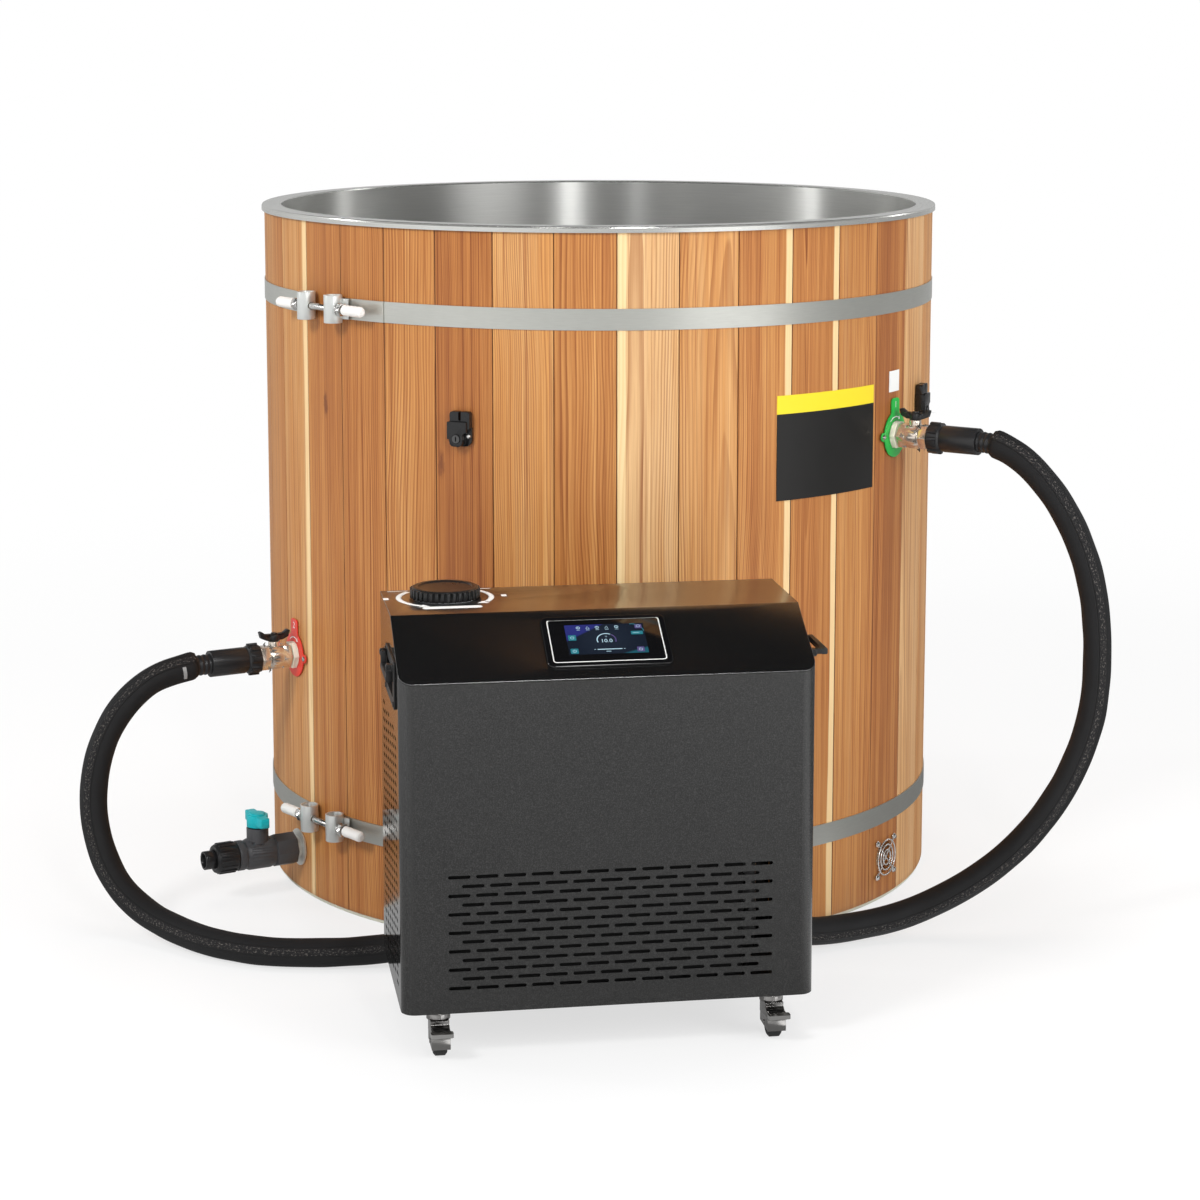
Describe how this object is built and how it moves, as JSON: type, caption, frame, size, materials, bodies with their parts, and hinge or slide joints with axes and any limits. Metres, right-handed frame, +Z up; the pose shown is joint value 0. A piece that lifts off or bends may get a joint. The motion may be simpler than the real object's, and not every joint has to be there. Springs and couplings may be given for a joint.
{
  "type": "barrel cold plunge tub",
  "caption": "Round wood-staved cold plunge tub with steel liner, hoops, valves and drain, joined by two insulated hoses to a cabinet water chiller on casters.",
  "frame": {"origin": "on the floor, at the centre of the tub's base", "axes": "+Z up along the tub's axis, -Y towards the front, where the chiller stands, +X to the right seen from the front"},
  "size_m": [1.4448, 1.4486, 1],
  "materials": {
    "stave_wood": "satin",
    "base_plastic": "matte",
    "foam": "matte",
    "liner_steel": "brushed",
    "rim_steel": "brushed",
    "hoop_steel": "brushed",
    "lug_steel": "satin",
    "bolt_steel": "polished",
    "cap_plastic": "matte",
    "plate_print": "printed",
    "screw_steel": "polished",
    "guard_wire": "polished",
    "clip_plastic": "satin",
    "port_steel": "machined",
    "nut_nickel": "nickel plated",
    "valve_nickel": "nickel plated",
    "union_plastic": "matte",
    "tail_nickel": "nickel plated",
    "tag_green": "satin",
    "tag_red": "satin",
    "handle_black": "satin",
    "drain_pvc": "satin",
    "drain_teal": "satin",
    "hose_sleeve": "coated cloth",
    "cabinet_black": "fine texture",
    "cover_black": "gloss",
    "display_glass": "gloss",
    "filter_white": "satin",
    "cap_black": "satin",
    "grip_plastic": "satin",
    "compressor_enamel": "enamel",
    "coil_aluminium": "finned",
    "fan_steel": "satin",
    "fan_plastic": "satin",
    "pump_plastic": "satin",
    "caster_zinc": "zinc plated",
    "lock_metal": "nickel plated",
    "wheel_rubber": "moulded",
    "pedal_steel": "satin"
  },
  "bodies": {
    "tub_and_chiller": {"staves": "stave_wood", "base_plate": "base_plastic", "foam_insulation": "foam", "liner_wall": "liner_steel", "liner_floor": "liner_steel", "rim_ring": "rim_steel", "hoop_bands": "hoop_steel", "hoop_lugs": "lug_steel", "tension_bolts": "bolt_steel", "bolt_end_caps": "cap_plastic", "wall_plates": "plate_print", "wall_screws": "screw_steel", "vent_guard": "guard_wire", "cover_clips": "clip_plastic", "port_bulkheads": "port_steel", "port_locknuts": "nut_nickel", "valve_bodies": "valve_nickel", "union_nuts": "union_plastic", "hose_tails": "tail_nickel", "inlet_tag": "tag_green", "outlet_tag": "tag_red", "drain_fitting": "port_steel", "drain_valve_body": "drain_pvc", "drain_coupling": "union_plastic", "inlet_hose": "hose_sleeve", "outlet_hose": "hose_sleeve", "cabinet_wrap": "cabinet_black", "top_cover": "cover_black", "back_panel": "cabinet_black", "base_pan": "cabinet_black", "display_panel": "display_glass", "filter_housing": "filter_white", "handle_cups": "grip_plastic", "back_ports": "union_plastic", "refrigeration_unit": "compressor_enamel", "condenser_coil": "coil_aluminium", "fan_motor": "fan_steel", "water_pump": "pump_plastic", "caster_plates": "caster_zinc"},
    "inlet_valve_handle": {"inlet_valve_handle": "handle_black"},
    "outlet_valve_handle": {"outlet_valve_handle": "handle_black"},
    "drain_valve_handle": {"drain_valve_handle": "drain_teal"},
    "filter_cap": {"filter_cap": "cap_black"},
    "fan_blades": {"fan_blades": "fan_plastic"},
    "left_grip": {"left_grip": "grip_plastic"},
    "right_grip": {"right_grip": "grip_plastic"},
    "clip_lock_1": {"clip_lock_1": "lock_metal"},
    "clip_lock_2": {"clip_lock_2": "lock_metal"},
    "clip_lock_3": {"clip_lock_3": "lock_metal"},
    "clip_lock_4": {"clip_lock_4": "lock_metal"},
    "front_left_fork": {"front_left_fork": "caster_zinc"},
    "front_left_wheel": {"front_left_wheel": "wheel_rubber"},
    "front_right_fork": {"front_right_fork": "caster_zinc"},
    "front_right_wheel": {"front_right_wheel": "wheel_rubber"},
    "rear_left_fork": {"rear_left_fork": "caster_zinc"},
    "rear_left_wheel": {"rear_left_wheel": "wheel_rubber"},
    "rear_right_fork": {"rear_right_fork": "caster_zinc"},
    "rear_right_wheel": {"rear_right_wheel": "wheel_rubber"},
    "front_left_pedal": {"front_left_pedal": "pedal_steel"},
    "front_right_pedal": {"front_right_pedal": "pedal_steel"}
  },
  "joints": [
    {"name": "inlet_valve_turn", "type": "hinge", "parent": "tub_and_chiller", "child": "inlet_valve_handle", "pos_m": [0.45037, -0.28692, 0.685], "axis": [0, 0, 1], "range_deg": [0, 90]},
    {"name": "outlet_valve_turn", "type": "hinge", "parent": "tub_and_chiller", "child": "outlet_valve_handle", "pos_m": [-0.47062, -0.25234, 0.356], "axis": [0, 0, 1], "range_deg": [0, 90]},
    {"name": "drain_valve_turn", "type": "hinge", "parent": "tub_and_chiller", "child": "drain_valve_handle", "pos_m": [-0.49741, -0.27007, 0.067], "axis": [0, 0, 1], "range_deg": [0, 90]},
    {"name": "filter_cap_turn", "type": "hinge", "parent": "tub_and_chiller", "child": "filter_cap", "pos_m": [-0.19729, -0.7093, 0.541], "axis": [0, 0, 1], "range_deg": [0, 90]},
    {"name": "fan_spin", "type": "hinge", "parent": "tub_and_chiller", "child": "fan_blades", "pos_m": [-0.01496, -0.83128, 0.165], "axis": [-0.1564, 0.9877, 0], "continuous": true},
    {"name": "left_grip_lift", "type": "hinge", "parent": "tub_and_chiller", "child": "left_grip", "pos_m": [-0.26471, -0.83337, 0.487], "axis": [-0.1564, 0.9877, 0], "range_deg": [0, 90]},
    {"name": "right_grip_fold", "type": "hinge", "parent": "tub_and_chiller", "child": "right_grip", "pos_m": [0.26272, -0.74984, 0.487], "axis": [-0.1564, 0.9877, 0], "range_deg": [0, 90]},
    {"name": "clip_lock_1_turn", "type": "hinge", "parent": "tub_and_chiller", "child": "clip_lock_1", "pos_m": [-0.19108, -0.47286, 0.71], "axis": [-0.3697, -0.9291, 0], "range_deg": [0, 90]},
    {"name": "clip_lock_2_turn", "type": "hinge", "parent": "tub_and_chiller", "child": "clip_lock_2", "pos_m": [0.47286, -0.19108, 0.71], "axis": [0.9291, -0.3697, 0], "range_deg": [0, 90]},
    {"name": "clip_lock_3_turn", "type": "hinge", "parent": "tub_and_chiller", "child": "clip_lock_3", "pos_m": [0.19108, 0.47286, 0.71], "axis": [0.3697, 0.9291, 0], "range_deg": [0, 90]},
    {"name": "clip_lock_4_turn", "type": "hinge", "parent": "tub_and_chiller", "child": "clip_lock_4", "pos_m": [-0.47286, 0.19108, 0.71], "axis": [-0.9291, 0.3697, 0], "range_deg": [0, 90]},
    {"name": "front_left_swivel", "type": "hinge", "parent": "tub_and_chiller", "child": "front_left_fork", "pos_m": [-0.19998, -0.89045, 0.054], "axis": [0, 0, 1], "continuous": true},
    {"name": "front_left_roll", "type": "hinge", "parent": "front_left_fork", "child": "front_left_wheel", "pos_m": [-0.1981, -0.9023, 0.019], "axis": [0.9877, 0.1564, 0], "continuous": true},
    {"name": "front_right_swivel", "type": "hinge", "parent": "tub_and_chiller", "child": "front_right_fork", "pos_m": [0.2188, -0.82412, 0.054], "axis": [0, 0, 1], "continuous": true},
    {"name": "front_right_roll", "type": "hinge", "parent": "front_right_fork", "child": "front_right_wheel", "pos_m": [0.22068, -0.83598, 0.019], "axis": [0.9877, 0.1564, 0], "continuous": true},
    {"name": "rear_left_swivel", "type": "hinge", "parent": "tub_and_chiller", "child": "rear_left_fork", "pos_m": [-0.23142, -0.69193, 0.054], "axis": [0, 0, 1], "continuous": true},
    {"name": "rear_left_roll", "type": "hinge", "parent": "rear_left_fork", "child": "rear_left_wheel", "pos_m": [-0.22955, -0.70378, 0.019], "axis": [0.9877, 0.1564, 0], "continuous": true},
    {"name": "rear_right_swivel", "type": "hinge", "parent": "tub_and_chiller", "child": "rear_right_fork", "pos_m": [0.18736, -0.6256, 0.054], "axis": [0, 0, 1], "continuous": true},
    {"name": "rear_right_roll", "type": "hinge", "parent": "rear_right_fork", "child": "rear_right_wheel", "pos_m": [0.18923, -0.63745, 0.019], "axis": [0.9877, 0.1564, 0], "continuous": true},
    {"name": "front_left_brake", "type": "hinge", "parent": "front_left_fork", "child": "front_left_pedal", "pos_m": [-0.19435, -0.92601, 0.034], "axis": [0.9877, 0.1564, 0], "range_deg": [0, 12]},
    {"name": "front_right_brake", "type": "hinge", "parent": "front_right_fork", "child": "front_right_pedal", "pos_m": [0.22443, -0.85968, 0.034], "axis": [0.9877, 0.1564, 0], "range_deg": [0, 12]}
  ]
}
